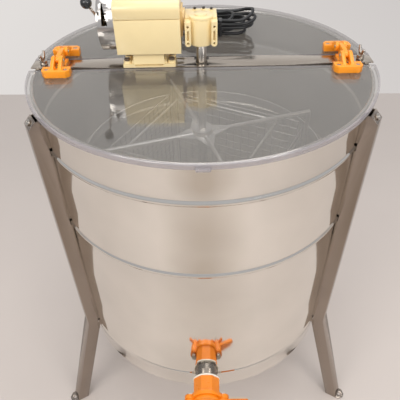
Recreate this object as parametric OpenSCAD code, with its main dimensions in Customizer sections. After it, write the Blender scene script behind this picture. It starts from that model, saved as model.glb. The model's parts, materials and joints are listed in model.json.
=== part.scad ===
// Electric honey extractor: open drum on three folded legs, two clear half lids,
// gear motor on a crossbar, four-sided cage inside and a honey gate at the front.
// Millimetres. The origin is on the floor on the drum's axis, +Z up, the gate faces -Y.

/* [Drum] */
// Outer radius of the drum's wall
drum_r = 310; // [300:1:320]
// Thickness of the drum's sheet
sheet = 1.2; // [0.8:0.1:1.5]
// Height of the drum's lower edge above the floor
drum_low = 254; // [240:1:270]
// How far the pressed beads stand proud
bead = 3; // [2:0.5:3]
// Height of the honey gate's axis above the floor
gate_z = 307; // [303:1:310]

/* [Legs] */
// Radius at which the leg's outer web stands
leg_r = 337; // [333:1:342]
// Width of the folded leg
leg_w = 30; // [26:1:34]
// Radius of the web at the floor
foot_r = 424; // [400:1:440]
// Radius of the holes in the feet
foot_hole_r = 4.5; // [3:0.5:6]

/* [Lids] */
// Outer radius of the lid's skirt
lid_r = 322; // [321.5:0.5:325]
// Thickness of the clear lid
lid_t = 4; // [3:0.5:4]
// Gap from the drum's middle plane to each lid's straight edge
lid_gap = 24.5; // [24:0.5:26]

/* [Hinges] */
// Distance of each hinge from the drum's axis
hinge_x = 262; // [256:1:266]
// Distance of the hinge pins from the middle plane
pin_y = 20; // [19:0.5:21]
// Height of the hinge pins
pin_z = 911; // [910:0.5:912]

/* [Drive] */
// Offset of the worm and motor axis behind the cage axis
worm_y = 18; // [18:1:18]
// Height of the worm and motor axis
worm_z = 967; // [967:1:967]
// Teeth on the worm wheel, module 1
wheel_teeth = 26; // [26:1:26]
// Radius of the speed drum
speed_r = 50; // [48:1:50]
// Angle of the speed lever forward from upright
lever_a = 52; // [45:1:60]

/* [Cage] */
// Radius of the cage's hoops
cage_r = 255; // [245:1:262]
// Angle of the first arm from +X
cage_a = 18; // [0:1:45]
// Height of the upper arms
arm_z = 738; // [730:1:745]

/* [Hidden] */
$fn = 96;

steel = "#c8c4bf";
cream = "#ecd9aa";
orange = "#f28c1e";
hinge_orange = "#f9a62a";
rim_z = 886;
lid_z = 890;
bar_z = 895;
bead_heights = [gate_z, 644, 811];
knee_z = 308;
leg_angles = [210, 330, 90];
gate_y = -drum_r;
cord_d = 6.5;
cord_route = [[-110, 90, 945], [-110, 98, 944.5], [-109, 106, 942], [-106, 113, 936], [-101, 119, 928],
    [-94, 123.5, 919], [-85, 126.5, 910.5], [-75, 127.8, 904], [-64, 128, 900], [-53, 128, 898.2], [-42, 128, 897.6]];

module ring(ro, ri, h) { difference() { cylinder(r = ro, h = h); translate([0, 0, -1]) cylinder(r = ri, h = h + 2); } }
module rod_x(r, l) { rotate([0, 90, 0]) cylinder(r = r, h = l); }
module rod_y(r, l) { rotate([-90, 0, 0]) cylinder(r = r, h = l); }
module hex(af, h) { cylinder(r = af / 2 / cos(30), h = h, $fn = 6); }

// ---------- drum ----------
// half-round bead: steps along the bead's height, as offsets from the wall
function bump(z0, off) = [for (i = [0 : 8]) [drum_r + off + bead * sin(i * 22.5), z0 - 7 + 14 * i / 8]];
function wall(off) = concat([[drum_r + off, drum_low]], bump(bead_heights[0], off), bump(bead_heights[1], off),
    bump(bead_heights[2], off));
function back_to_front(l) = [for (i = [len(l) - 1 : -1 : 0]) l[i]];
// rolled rim: a round bead that the top of the wall curls into
rim_c = [drum_r + 1.5, rim_z];
rim_r = 3.5;
rim_out = -acos(-1.5 / rim_r);
rim_in = 360 - acos(-(1.5 + sheet) / rim_r);
function rim_arc() = [for (i = [0 : 24]) let (a = rim_out + (rim_in - rim_out) * i / 24) rim_c + rim_r * [cos(a), sin(a)]];

module drum_shell() {
    color(steel) difference() {
        rotate_extrude($fn = 180) polygon(concat(wall(0), rim_arc(), back_to_front(wall(-sheet))));
        translate([0, gate_y - 10, gate_z]) rotate([-90, 0, 0]) cylinder(r = 24.95, h = 40, $fn = 12);
    }
}

module drum_bottom() {
    color(steel) rotate_extrude($fn = 180) polygon([[0, 294.5], [40, 294.5], [drum_r - 3.4, 276.5], [drum_r - 3.4, 262],
        [drum_r - 1.4, 262], [drum_r - 1.4, 278], [40, 296], [0, 296]]);
}

module pivot_cup() {
    color(steel) difference() {
        union() { translate([0, 0, 296]) cylinder(r = 38, h = 3); translate([0, 0, 298]) cylinder(r = 20, h = 30); }
        translate([0, 0, 300]) cylinder(r = 14, h = 40);
    }
}

module pivot_bush() {
    color("#e8e4da") difference() {
        translate([0, 0, 300]) cylinder(r = 13.95, h = 26);
        translate([0, 0, 303]) cylinder(r = 8.06, h = 40);
    }
}

// ---------- legs ----------
function web_r(z) = z > knee_z ? leg_r : leg_r + (foot_r - leg_r) * (knee_z - z) / knee_z;
// the top facet falls 13 mm over 12.5 mm
facet_tilt = atan2(13, 12.5);
module leg() {
    color("#b0a698") difference() {
        union() {
            // web with the folded top facet, the knee and the foot tab
            translate([0, leg_w / 2, 0]) rotate([90, 0, 0]) linear_extrude(leg_w) polygon([
                [foot_r + 17, 0], [foot_r + 17, 3], [foot_r + 0.5, 3], [leg_r, knee_z], [leg_r, 862], [324.5, 875], [322.6, 873.3],
                [leg_r - 2, 861], [leg_r - 2, knee_z - 0.3], [foot_r - 2.5, 3], [foot_r - 28, 3], [foot_r - 28, 0]]);
            for (s = [-1, 1]) translate([0, s * (leg_w / 2 - 1) + 1, 0]) rotate([90, 0, 0]) linear_extrude(2) polygon([
                [foot_r - 28, 0], [foot_r - 0.5, 0], [leg_r - 0.5, knee_z], [leg_r - 0.5, 861.6], [323.5, 873.8], [316.3, 873.8],
                [316.3, 868], [309.8, 862], [309.8, knee_z - 14]]);
        }
        // notches over the beads
        for (z = bead_heights) translate([300, -leg_w, z - 8]) cube([13.1, 2 * leg_w, 16]);
        // hole in the foot tab, with chamfered outer corners
        translate([foot_r + 6, 0, -1]) cylinder(r = foot_hole_r, h = 6);
        for (s = [-1, 1]) translate([foot_r + 17, s * (leg_w / 2), -1]) rotate([0, 0, 45]) translate([-7, -7, 0]) cube([14, 14, 6]);
        // screw hole in the top facet
        translate([331, 0, 868.24]) rotate([0, facet_tilt, 0]) translate([0, 0, -6]) cylinder(r = 3.05, h = 12);
    }
}
module leg_left() { rotate([0, 0, leg_angles[0]]) leg(); }
module leg_right() { rotate([0, 0, leg_angles[1]]) leg(); }
module leg_rear() { rotate([0, 0, leg_angles[2]]) leg(); }

module leg_bolts() {
    color("#d8d5d0") for (a = leg_angles) rotate([0, 0, a]) translate([331, 0, 868.24]) rotate([0, facet_tilt, 0]) {
        translate([0, 0, 0.1]) difference() { cylinder(r = 5.5, h = 3.2); translate([0, 0, 1.4]) hex(4, 3); }
        translate([0, 0, -5]) cylinder(r = 2.95, h = 5.5);
    }
}

// ---------- honey gate ----------
module outlet_nipple() {
    color(steel) difference() {
        union() {
            translate([0, gate_y - 38, gate_z]) rod_y(24, 42);
            translate([0, gate_y - 14.8, gate_z]) rod_y(27, 3);
        }
        translate([0, gate_y - 60, gate_z]) rod_y(21, 90);
    }
}
module gate_gasket() {
    color("#f3efe6") difference() {
        translate([0, gate_y - 18, gate_z]) rod_y(29.5, 3);
        translate([0, gate_y - 30, gate_z]) rod_y(24.1, 40);
    }
}
stud_x = 36;
module gate_body() {
    color(orange) difference() {
        union() {
            translate([0, gate_y - 52, gate_z]) rotate([-90, 0, 0]) rotate([0, 0, 22.5]) cylinder(r = 29.5, h = 33.8, $fn = 8);
            translate([0, gate_y - 60, gate_z]) rod_y(33, 8.5);
            translate([-stud_x, gate_y - 60, gate_z - 10]) cube([2 * stud_x, 8.5, 20]);
            for (s = [-1, 1]) translate([s * stud_x, gate_y - 60, gate_z]) rod_y(11, 8.5);
            for (z = [-1, 1]) translate([0, gate_y - 55, gate_z]) rotate([-90, 0, 0]) ring(31, 24, 3);
        }
        translate([0, gate_y - 40, gate_z]) rod_y(24.1, 40);
        translate([0, gate_y - 70, gate_z]) rod_y(21, 60);
        for (s = [-1, 1]) translate([s * stud_x, gate_y - 70, gate_z]) rod_y(4, 40);
    }
}
module gate_blade() {
    color(orange) difference() {
        union() {
            translate([0, gate_y - 67, gate_z]) rod_y(28, 6.6);
            translate([-stud_x, gate_y - 67, gate_z - 9]) cube([2 * stud_x, 6.6, 18]);
            for (s = [-1, 1]) translate([s * stud_x, gate_y - 67, gate_z]) rod_y(9.5, 6.6);
            // handle running out past the pivot, with a rounded grip
            translate([stud_x, gate_y - 67, gate_z - 6]) cube([46, 6.6, 12]);
            translate([stud_x + 46, gate_y - 67, gate_z]) rod_y(6, 6.6);
            translate([stud_x + 12, gate_y - 71, gate_z - 2]) cube([34, 5, 4]);
        }
        translate([stud_x, gate_y - 80, gate_z]) rod_y(4.05, 40);
        // open slot so that the blade lifts off the left stud
        translate([-stud_x, gate_y - 80, gate_z]) rod_y(4.6, 40);
        translate([-stud_x - 4.6, gate_y - 80, gate_z - 20]) cube([9.8, 40, 20]);
        translate([-stud_x - 12, gate_y - 80, gate_z - 20]) cube([9, 40, 11.5]);
    }
}
module gate_studs() {
    color("#b9b5ae") for (s = [-1, 1]) translate([s * stud_x, gate_y - 84, gate_z]) {
        rod_y(3.97, 34);
        translate([0, 32.6, 0]) rotate([-90, 0, 0]) hex(13, 4);
    }
}
module wing_nut_y() {
    difference() {
        union() {
            rod_y(7.5, 9);
            for (s = [-1, 1]) translate([0, 1, 0]) rotate([90, 0, 0]) mirror([0, 0, 1]) linear_extrude(4)
                polygon([[s * 3, -5], [s * 9, -4], [s * 19, 7], [s * 19, 12], [s * 14, 13], [s * 7, 5], [s * 3, 5]]);
        }
        translate([0, -2, 0]) rod_y(4.05, 20);
    }
}
module gate_wing_nut_left() { color(orange) translate([-stud_x, gate_y - 76.3, gate_z]) wing_nut_y(); }
module gate_wing_nut_right() { color(orange) translate([stud_x, gate_y - 76.3, gate_z]) wing_nut_y(); }

// ---------- crossbar ----------
bar_half = 318;
function bar_plan(i) = [[-bar_half, -16 + i], [-230, -16 + i], [-150, -22.5 + i], [150, -22.5 + i], [230, -16 + i], [bar_half, -16 + i],
    [bar_half, 16 - i], [230, 16 - i], [150, 22.5 - i], [-150, 22.5 - i], [-230, 16 - i], [-bar_half, 16 - i]];
foot_bolt_x = [-137, -55];
foot_bolt_y = 12;
module crossbar() {
    color(steel) difference() {
        translate([0, 0, bar_z - 10]) linear_extrude(10) polygon(bar_plan(0));
        translate([0, 0, bar_z - 12]) linear_extrude(10) polygon(bar_plan(2));
        for (s = [-1, 1]) translate([s * 308 - 15, -30, bar_z - 12]) cube([30, 60, 10]);
        // notches in the flanges
        for (s = [-1, 1]) translate([s * 109 - 17, -30, bar_z - 12]) cube([34, 12, 8]);
        cylinder(r = 11.5, h = 2000);
        for (x = foot_bolt_x) for (y = [-foot_bolt_y, foot_bolt_y]) translate([x, y, 800]) cylinder(r = 3.1, h = 200);
        for (s = [-1, 1]) {
            translate([s * 297, 0, 800]) cylinder(r = 4, h = 200);
            for (y = [-9, 9]) translate([s * hinge_x, y, 800]) cylinder(r = 2.1, h = 200);
        }
    }
}
module bar_brackets() {
    color(steel) for (s = [-1, 1]) difference() {
        union() {
            translate([s * 298 - 11.5, -12, rim_z + 3.6]) cube([23, 24, 3.4]);
            translate([s * 288.5 - 2, -12, 856]) cube([4, 24, rim_z - 852]);
            translate([s > 0 ? 286.5 : -308, -12, 856]) cube([21.5, 24, 3]);
        }
        translate([s * 297, 0, 800]) cylinder(r = 4, h = 200);
    }
}
module bar_wing_bolt() {
    color("#b9b5ae") {
        translate([0, 0, 866]) cylinder(r = 3.95, h = 32);
        translate([0, 0, bar_z + 0.3]) cylinder(r = 7, h = 7);
        translate([-1.7, 0, bar_z + 3]) rotate([90, 0, 90]) linear_extrude(3.4)
            polygon([[-5, 0], [5, 0], [14, 10], [14.5, 18], [11, 19], [4, 9], [-4, 9], [-11, 19], [-14.5, 18], [-14, 10]]);
    }
}
module bar_wing_bolt_left() { translate([-297, 0, 0]) bar_wing_bolt(); }
module bar_wing_bolt_right() { translate([297, 0, 0]) bar_wing_bolt(); }

// ---------- lids ----------
module half_lid() {
    color([0.78, 0.8, 0.82, 0.5]) difference() {
        union() {
            translate([0, 0, lid_z]) cylinder(r = lid_r - 1, h = lid_t, $fn = 180);
            translate([0, 0, 884]) difference() {
                cylinder(r = lid_r, h = 9, $fn = 180);
                translate([0, 0, -1]) cylinder(r = lid_r - 2.6, h = 20, $fn = 180);
            }
            // lift tab
            translate([-11, -lid_r - 7, 886]) cube([22, 9.5, 3]);
        }
        translate([-400, -lid_gap, 800]) cube([800, 800, 200]);
        for (s = [-1, 1]) for (d = [-17, 17]) translate([s * hinge_x + d, -47, 800]) cylinder(r = 2.1, h = 200);
    }
}
module front_lid() { half_lid(); }
module rear_lid() { mirror([0, 1, 0]) half_lid(); }

module hinge_post(s) {
    color(hinge_orange) difference() {
        union() {
            translate([s * hinge_x - 3.8, 0, 0]) rotate([90, 0, 90]) linear_extrude(7.6)
                polygon([[-13, bar_z], [13, bar_z], [14, 901], [pin_y + 4, 906], [pin_y + 4, 916], [16, 918], [-16, 918], [-pin_y - 4, 916], [-pin_y - 4, 906], [-14, 901]]);
            for (y = [-pin_y, pin_y]) translate([s * hinge_x - 3.8, y, pin_z]) rod_x(6.5, 7.6);
            translate([s * hinge_x - 9, -14, bar_z]) cube([18, 28, 4]);
        }
        for (y = [-pin_y, pin_y]) translate([s * hinge_x - 20, y, pin_z]) rod_x(2.5, 40);
    }
}
module hinge_post_left() { hinge_post(-1); }
module hinge_post_right() { hinge_post(1); }
module hinge_pins() {
    color("#b9b5ae") for (s = [-1, 1]) for (y = [-pin_y, pin_y]) translate([s * hinge_x - 11, y, pin_z]) rod_x(2.5, 22);
}
module leaf() {
    difference() {
        union() {
            translate([0, 0, lid_z + lid_t]) linear_extrude(12) polygon([[-25, -36], [-25, -51], [-19, -58], [19, -58], [25, -51], [25, -36]]);
            for (s = [-1, 1]) translate([s * 7.05 - 2.95, 0, 0]) {
                rotate([90, 0, 90]) linear_extrude(5.9) polygon([[-50, 900], [-38, 900], [-pin_y - 2, pin_z - 7.7], [-pin_y - 2, pin_z + 7.7], [-pin_y - 5, pin_z + 7.8], [-46, 908], [-50, 905.5]]);
                translate([0, -pin_y, pin_z]) rod_x(8, 5.9);
            }
        }
        translate([-20, -pin_y, pin_z]) rod_x(2.56, 40);
        for (d = [-17, 17]) translate([d, -47, 880]) cylinder(r = 2.1, h = 40);
        for (d = [-17, 17]) translate([d, -47, 903]) cylinder(r = 4.2, h = 40);
        // slit between the ears at the block
        translate([-2.2, -50, 903]) cube([4.4, 20, 10]);
    }
}
module front_hinge_leaves() { color(hinge_orange) for (s = [-1, 1]) translate([s * hinge_x, 0, 0]) leaf(); }
module rear_hinge_leaves() { color(hinge_orange) for (s = [-1, 1]) translate([s * hinge_x, 0, 0]) mirror([0, 1, 0]) leaf(); }
module leaf_screws() {
    color("#b9b5ae") for (s = [-1, 1]) for (d = [-17, 17]) translate([s * hinge_x + d, -47, 0]) {
        translate([0, 0, 885.5]) cylinder(r = 2, h = 18);
        translate([0, 0, 903]) difference() { cylinder(r = 3.9, h = 2.4); translate([0, 0, 1.2]) hex(2.5, 3); }
        translate([0, 0, 886.6]) hex(7, 3.2);
    }
}
module front_leaf_screws() { leaf_screws(); }
module rear_leaf_screws() { mirror([0, 1, 0]) leaf_screws(); }

// ---------- motor ----------
mot_x0 = -150; mot_x1 = -36;
mot_y0 = worm_y - 50; mot_y1 = worm_y + 50;
mot_z0 = 924; mot_z1 = 1014; seam_z = 984;
module motor_foot() {
    color(cream) difference() {
        union() {
            translate([-144, -22, bar_z]) cube([96, 44, 6]);
            for (x = [-137, -55]) for (y = [-foot_bolt_y, foot_bolt_y]) translate([x, y, bar_z]) cylinder(r = 7, h = 10);
            translate([-124, -21, bar_z]) cube([56, 42, mot_z0 - bar_z]);
            translate([-128, -18, bar_z]) cube([64, 36, 11]);
        }
        for (x = foot_bolt_x) for (y = [-foot_bolt_y, foot_bolt_y]) translate([x, y, 800]) cylinder(r = 3.1, h = 200);
        translate([-122, -30, bar_z + 2.5]) cube([52, 16, 3]);
    }
}
module foot_bolts() {
    color("#8d8a85") for (x = foot_bolt_x) for (y = [-foot_bolt_y, foot_bolt_y]) translate([x, y, 0]) {
        translate([0, 0, 880]) cylinder(r = 3, h = 26);
        translate([0, 0, bar_z + 10]) hex(10, 4);
        translate([0, 0, 888]) hex(10, 4.7);
    }
}
// rounded cross-section of the housing in Y and Z, with radius r on the top edges
module mot_section(i, r) {
    difference() {
        translate([mot_y0 + i, mot_z0 + i]) square([mot_y1 - mot_y0 - 2 * i, mot_z1 - mot_z0 - 2 * i]);
        for (s = [0, 1]) translate([s ? mot_y1 - i - r : mot_y0 + i + r, mot_z1 - i - r]) difference() {
            translate([s ? 0 : -r - 1, 0]) square([r + 1, r + 1]);
            circle(r = r);
        }
    }
}
module mot_shell() {
    difference() {
        translate([mot_x0, 0, 0]) rotate([90, 0, 90]) linear_extrude(mot_x1 - mot_x0) mot_section(0, 16);
        translate([mot_x0 + 3, 0, 0]) rotate([90, 0, 90]) linear_extrude(mot_x1 - mot_x0 - 6) mot_section(3, 13);
    }
}
module motor_housing() {
    color(cream) difference() {
        mot_shell();
        translate([-200, -100, seam_z]) cube([200, 200, 100]);
        translate([mot_x1 - 10, worm_y, worm_z]) rod_x(11.05, 20);
        translate([mot_x0 - 1, worm_y, worm_z]) rod_x(5.1, 10);
        translate([-110, mot_y1 - 10, 945]) rod_y(8, 20);
        translate([-96, 0, 900]) cylinder(r = 5, h = 40);
    }
    color(cream) for (x = [mot_x0 + 3, mot_x1 - 8]) difference() {
        translate([x, mot_y0 + 3, mot_z0 + 3]) cube([5, 94, 50]);
        translate([x - 1, worm_y, worm_z]) rod_x(x < -100 ? 11.05 : 11.05, 10);
    }
}
module motor_cover() {
    color(cream) difference() {
        mot_shell();
        translate([-200, -100, 800]) cube([200, 200, seam_z + 0.4 - 800]);
    }
}
module motor_flange() {
    color("#dcc48e") difference() {
        union() {
            translate([mot_x1, worm_y - 24, 945]) cube([3.5, 48, 44]);
            translate([mot_x1, worm_y, worm_z]) rod_x(20, 7.4);
        }
        translate([mot_x1 - 10, worm_y, worm_z]) rod_x(11.05, 14);
        translate([mot_x1 - 10, worm_y, worm_z]) rod_x(6, 40);
    }
}
module stator() {
    color("#8a8f94") difference() {
        translate([-122, worm_y, worm_z]) rod_x(36, 60);
        translate([-130, worm_y, worm_z]) rod_x(17.5, 80);
        for (a = [0 : 60 : 300]) translate([-130, worm_y, worm_z]) rotate([a, 0, 0]) translate([0, -3, 14]) cube([80, 6, 14]);
    }
}
module rotor() {
    color("#9a9ea3") translate([0, worm_y, worm_z]) {
        translate([-122, 0, 0]) rod_x(17, 60);
        translate([-146.5, 0, 0]) rod_x(4, 133.5);
    }
}
module motor_bearings() {
    color("#cfcfd2") for (x = [mot_x0 + 3.5, mot_x1 - 7.5]) translate([x, worm_y, worm_z]) rotate([0, 90, 0]) ring(11, 4.05, 7);
}

// ---------- speed control ----------
function slot_w(a) = 2 + 7.5 * (a - 38) / 45;
module speed_drum() {
    color("#d9d7d4") difference() {
        translate([-179, worm_y, worm_z]) rod_x(speed_r, 28.9);
        translate([-177.6, worm_y, worm_z]) rod_x(speed_r - 1.4, 40);
        translate([-190, worm_y, worm_z]) rod_x(5.06, 30);
        // stepped slot that widens towards the front
        for (k = [0 : 6]) let (a = 41 + 6 * k) translate([-170.5, worm_y, worm_z]) rotate([a, 0, 0])
            translate([0, -3.1, speed_r - 6]) cube([2.5 + k * 1.15, 6.2, 10]);
    }
}
module speed_lever() {
    color("#cfccc8") translate([0, worm_y, worm_z]) {
        translate([-183.4, 0, 0]) rod_x(9, 4);
        translate([-183, 0, 0]) rod_x(5, 14);
        rotate([lever_a, 0, 0]) translate([-182.4, 0, 0]) rotate([0, -2, 0]) cylinder(r = 2.5, h = 80);
        rotate([lever_a, 0, 0]) translate([-176.6, -2, 0]) cube([2.4, 4, 40]);
    }
}
module lever_knob() {
    color("#1c1c1e") translate([0, worm_y, worm_z]) rotate([lever_a, 0, 0]) translate([-182.4, 0, 0]) rotate([0, -2, 0]) difference() {
        union() { translate([0, 0, 87]) sphere(r = 9.5, $fn = 48); translate([0, 0, 76]) cylinder(r = 4.2, h = 8); }
        translate([0, 0, 70]) cylinder(r = 2.5, h = 10);
    }
}

// ---------- gearbox ----------
gb_z0 = 932; gb_z1 = 976;
cap_xy = [[-11, 32], [5, 33], [19, 29]];
module gearbox_body() {
    color(cream) difference() {
        union() {
            translate([0, 0, gb_z0]) cylinder(r = 22, h = gb_z1 - gb_z0);
            translate([-28.5, -8, 945]) cube([57, 46, gb_z1 - 945]);
            for (s = [-1, 1]) translate([s * 23.25 - 5.25, -24, 938]) cube([10.5, 20, gb_z1 - 938]);
            for (s = [-1, 1]) translate([s * 23.25, -24, 938]) rod_y(5.25, 20);
        }
        translate([0, 0, 948]) cylinder(r = 17, h = 60);
        translate([0, 0, 936]) cylinder(r = 13, h = 30);
        translate([0, 0, 900]) cylinder(r = 7.3, h = 60);
        translate([0, 0, 931]) cylinder(r = 11, h = 3);
        translate([-30, worm_y, worm_z]) rod_x(7, 46);
        translate([13, worm_y, worm_z]) rod_x(7.5, 20);
        for (s = [-1, 1]) for (z = [938.5, 967.5]) translate([s * 23.25, -30, z]) rod_y(2.1, 40);
        for (s = [-1, 1]) {
            translate([s * 23.25 - 1.9, -30, 945]) cube([3.8, 12, 14]);
            for (z = [945, 959]) translate([s * 23.25, -30, z]) rod_y(1.9, 12);
        }
        for (p = cap_xy) translate([p[0], p[1], 964]) cylinder(r = 1.6, h = 30);
    }
}
module gearbox_cap() {
    color(cream) difference() {
        union() {
            translate([-28, -7.5, gb_z1]) cube([56, 45, 3]);
            translate([0, 0, gb_z1]) cylinder(r = 21.5, h = 5);
            translate([0, 0, gb_z1 + 4]) cylinder(r = 11, h = 3);
            for (p = cap_xy) translate([p[0], p[1], gb_z1]) cylinder(r = 4.2, h = 4.2);
        }
        for (p = cap_xy) translate([p[0], p[1], 964]) cylinder(r = 1.6, h = 40);
        translate([0, 0, gb_z1 - 1]) cylinder(r = 17, h = 5);
    }
}
module cap_screws() {
    color("#1c1c1e") for (p = cap_xy) translate([p[0], p[1], 0]) {
        translate([0, 0, 966]) cylinder(r = 1.55, h = 15);
        translate([0, 0, gb_z1 + 4.2]) difference() { cylinder(r = 2.5, h = 3.2); translate([0, 0, 1.5]) hex(2.2, 3); }
    }
}
worm_pitch = PI;
worm_steps = 24;
worm_turns = 6;
lead = atan(worm_pitch / (2 * PI * 5));
// one ring of the thread's section: root inside the core, then the crest
function thread_pt(i, r, dx) = let (a = i * 360 / worm_steps) [(i / worm_steps - worm_turns / 2) * worm_pitch + dx, r * cos(a), r * sin(a)];
thread_n = worm_steps * worm_turns;
module worm_thread() {
    polyhedron(points = [for (i = [0 : thread_n]) each [thread_pt(i, 3.3, -1), thread_pt(i, 5.9, -0.38), thread_pt(i, 5.9, 0.38), thread_pt(i, 3.3, 1)]],
        faces = concat([[3, 2, 1, 0]], [for (i = [0 : thread_n - 1]) for (j = [0 : 3]) each [
            [4 * i + j, 4 * (i + 1) + (j + 1) % 4, 4 * (i + 1) + j], [4 * i + j, 4 * i + (j + 1) % 4, 4 * (i + 1) + (j + 1) % 4]]],
            [[4 * thread_n, 4 * thread_n + 1, 4 * thread_n + 2, 4 * thread_n + 3]]));
}
module worm() {
    color("#8f9296") translate([0, worm_y, worm_z]) {
        difference() { translate([-12.9, 0, 0]) rod_x(3.8, 33); }
        worm_thread();
    }
}
module worm_bearing() {
    color("#cfcfd2") translate([13.5, worm_y, worm_z]) rotate([0, 90, 0]) ring(7.48, 3.85, 6.5);
    color(cream) translate([21.5, worm_y, worm_z]) rod_x(7.48, 7);
}
wheel_r = wheel_teeth / 2;
module worm_wheel() {
    color("#c79a4b") difference() {
        union() {
            translate([0, 0, worm_z - 4]) cylinder(r = wheel_r - 1.3, h = 8);
            translate([0, 0, worm_z - 8]) cylinder(r = 10, h = 14);
            for (k = [0 : wheel_teeth - 1]) translate([0, 0, worm_z]) rotate([0, 0, 90 + k * 360 / wheel_teeth]) rotate([-lead, 0, 0])
                translate([0, 0, -3]) linear_extrude(6) polygon([[wheel_r - 2.2, -0.95], [wheel_r + 0.75, -0.42], [wheel_r + 0.75, 0.42], [wheel_r - 2.2, 0.95]]);
        }
        translate([0, 0, 900]) cylinder(r = 7.05, h = 100);
    }
}
module wheel_bearings() {
    color("#cfcfd2") { translate([0, 0, 937]) ring(12.9, 7.06, 9); translate([0, 0, gb_z1 - 2.8]) ring(16.9, 7.06, 6.5); }
}
module shaft_seal() { color("#2b2b2b") translate([0, 0, 932.2]) ring(10.9, 7.1, 1.7); }
module output_shaft() { color("#c4c1bc") translate([0, 0, 915]) cylinder(r = 7, h = 64.5); }
module coupling_sleeve() {
    color("#c4c1bc") difference() {
        translate([0, 0, 872]) cylinder(r = 9.7, h = 59.4);
        translate([0, 0, 860]) cylinder(r = 8.05, h = 54.5);
        translate([0, 0, 900]) cylinder(r = 7.05, h = 50);
        translate([-20, 0, 901]) rod_x(2.5, 40);
    }
}
module coupling_pin() { color("#6e6a66") translate([-13.5, 0, 901]) rod_x(2.45, 27); }

// ---------- cage ----------
module cage_shaft() {
    color("#c4c1bc") difference() {
        translate([0, 0, 303.2]) cylinder(r = 8, h = 611);
        translate([-20, 0, 901]) rod_x(2.5, 40);
    }
}
module at_arms() { for (k = [0 : 3]) rotate([0, 0, cage_a + 90 * k]) children(); }
module spider(z) {
    difference() {
        union() {
            translate([0, 0, z - 12]) cylinder(r = 22, h = 24);
            at_arms() {
                translate([10, 0, z]) rod_x(5, cage_r - 14);
                translate([0, 0, z - 2]) linear_extrude(4) polygon([[10, -24], [20, -21], [60, -3.5], [60, 3.5], [20, 21], [10, 24]]);
            }
        }
        translate([0, 0, z - 30]) cylinder(r = 8.05, h = 60);
    }
}
module upper_spider() { color(steel) spider(arm_z); }
module lower_spider() { color(steel) spider(350); }
module cage_hoops() {
    color(steel) for (z = [336, 678]) translate([0, 0, z]) ring(cage_r + 3, cage_r, 20);
}
screen_d = 172;
module cage_screens() {
    color("#c9c7c4") {
        // corner posts under each arm
        at_arms() translate([cage_r - 5, 0, 336]) cylinder(r = 4.9, h = arm_z - 336);
        // four lattice screens, one along each side
        for (k = [0 : 3]) rotate([0, 0, cage_a + 45 + 90 * k]) translate([screen_d, 0, 0]) rotate([90, 0, 90]) linear_extrude(2) difference() {
            translate([-160, 362]) square([320, 348]);
            for (i = [0 : 7]) for (j = [0 : 7]) translate([-157 + i * 39.4, 365 + j * 42.9]) square([36.4, 39.9]);
        }
    }
}
module frame_rails() {
    color(steel) for (z = [357.5, arm_z - 7.5]) for (k = [0 : 3]) rotate([0, 0, cage_a + 45 + 90 * k])
        for (d = z < 500 ? [122, 165] : [122]) translate([d, 0, z]) rotate([90, 0, 0]) translate([0, 0, -d * 0.97]) cylinder(r = 2.4, h = 2 * d * 0.97, $fn = 24);
}

// ---------- cord ----------
module cord_gland() {
    color("#1c1c1e") difference() {
        union() {
            translate([-110, mot_y1 - 5, 945]) rod_y(7.9, 9);
            translate([-110, mot_y1, 945]) rotate([-90, 0, 0]) hex(20, 5);
            translate([-110, mot_y1 + 5, 945]) rotate([-90, 0, 0]) cylinder(r1 = 7.5, r2 = 4.6, h = 16.5);
        }
        translate([-110, mot_y1 - 20, 945]) rod_y(3.5, 35);
    }
}
function unit(v) = v / norm(v);
function route_dir(i) = unit(cord_route[min(i + 1, len(cord_route) - 1)] - cord_route[max(i - 1, 0)]);
function tube_ring(i, r) = let (t = route_dir(i), u = unit(cross(t, [0, 0.2, 1])), v = cross(t, u)) [for (k = [0 : 9]) cord_route[i] + r * (cos(36 * k) * u + sin(36 * k) * v)];
module cord_lead() {
    n = len(cord_route);
    color("#1c1c1e") polyhedron(points = [for (i = [0 : n - 1]) each tube_ring(i, cord_d / 2)],
        faces = concat([[for (k = [0 : 9]) k]], [for (i = [0 : n - 2]) for (k = [0 : 9]) each [
            [10 * i + k, 10 * (i + 1) + k, 10 * (i + 1) + (k + 1) % 10], [10 * i + k, 10 * (i + 1) + (k + 1) % 10, 10 * i + (k + 1) % 10]]],
            [[for (k = [9 : -1 : 0]) 10 * (n - 1) + k]]));
}
hank = [-46, 114, 146, 33];
module cord_hank() {
    color("#1c1c1e") translate([0, 0, lid_z + lid_t + 0.3]) linear_extrude(38) union() {
        translate([hank[0] + hank[3], hank[2]]) circle(r = hank[3]);
        translate([hank[1] - hank[3], hank[2]]) circle(r = hank[3]);
        translate([hank[0] + hank[3], hank[2] - hank[3]]) square([hank[1] - hank[0] - 2 * hank[3], 2 * hank[3]]);
    }
}
module plug() {
    color("#1c1c1e") {
        translate([-77, 160, lid_z + lid_t + 18.3]) rotate([0, 90, 0]) cylinder(r1 = 9, r2 = 4.5, h = 31.5);
        translate([-112, 160, lid_z + lid_t + 18.3]) rod_x(18, 36);
    }
    color("#cfccc8") for (y = [-9.5, 9.5]) translate([-131, 160 + y, lid_z + lid_t + 18.3]) rod_x(2.4, 20);
}

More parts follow.
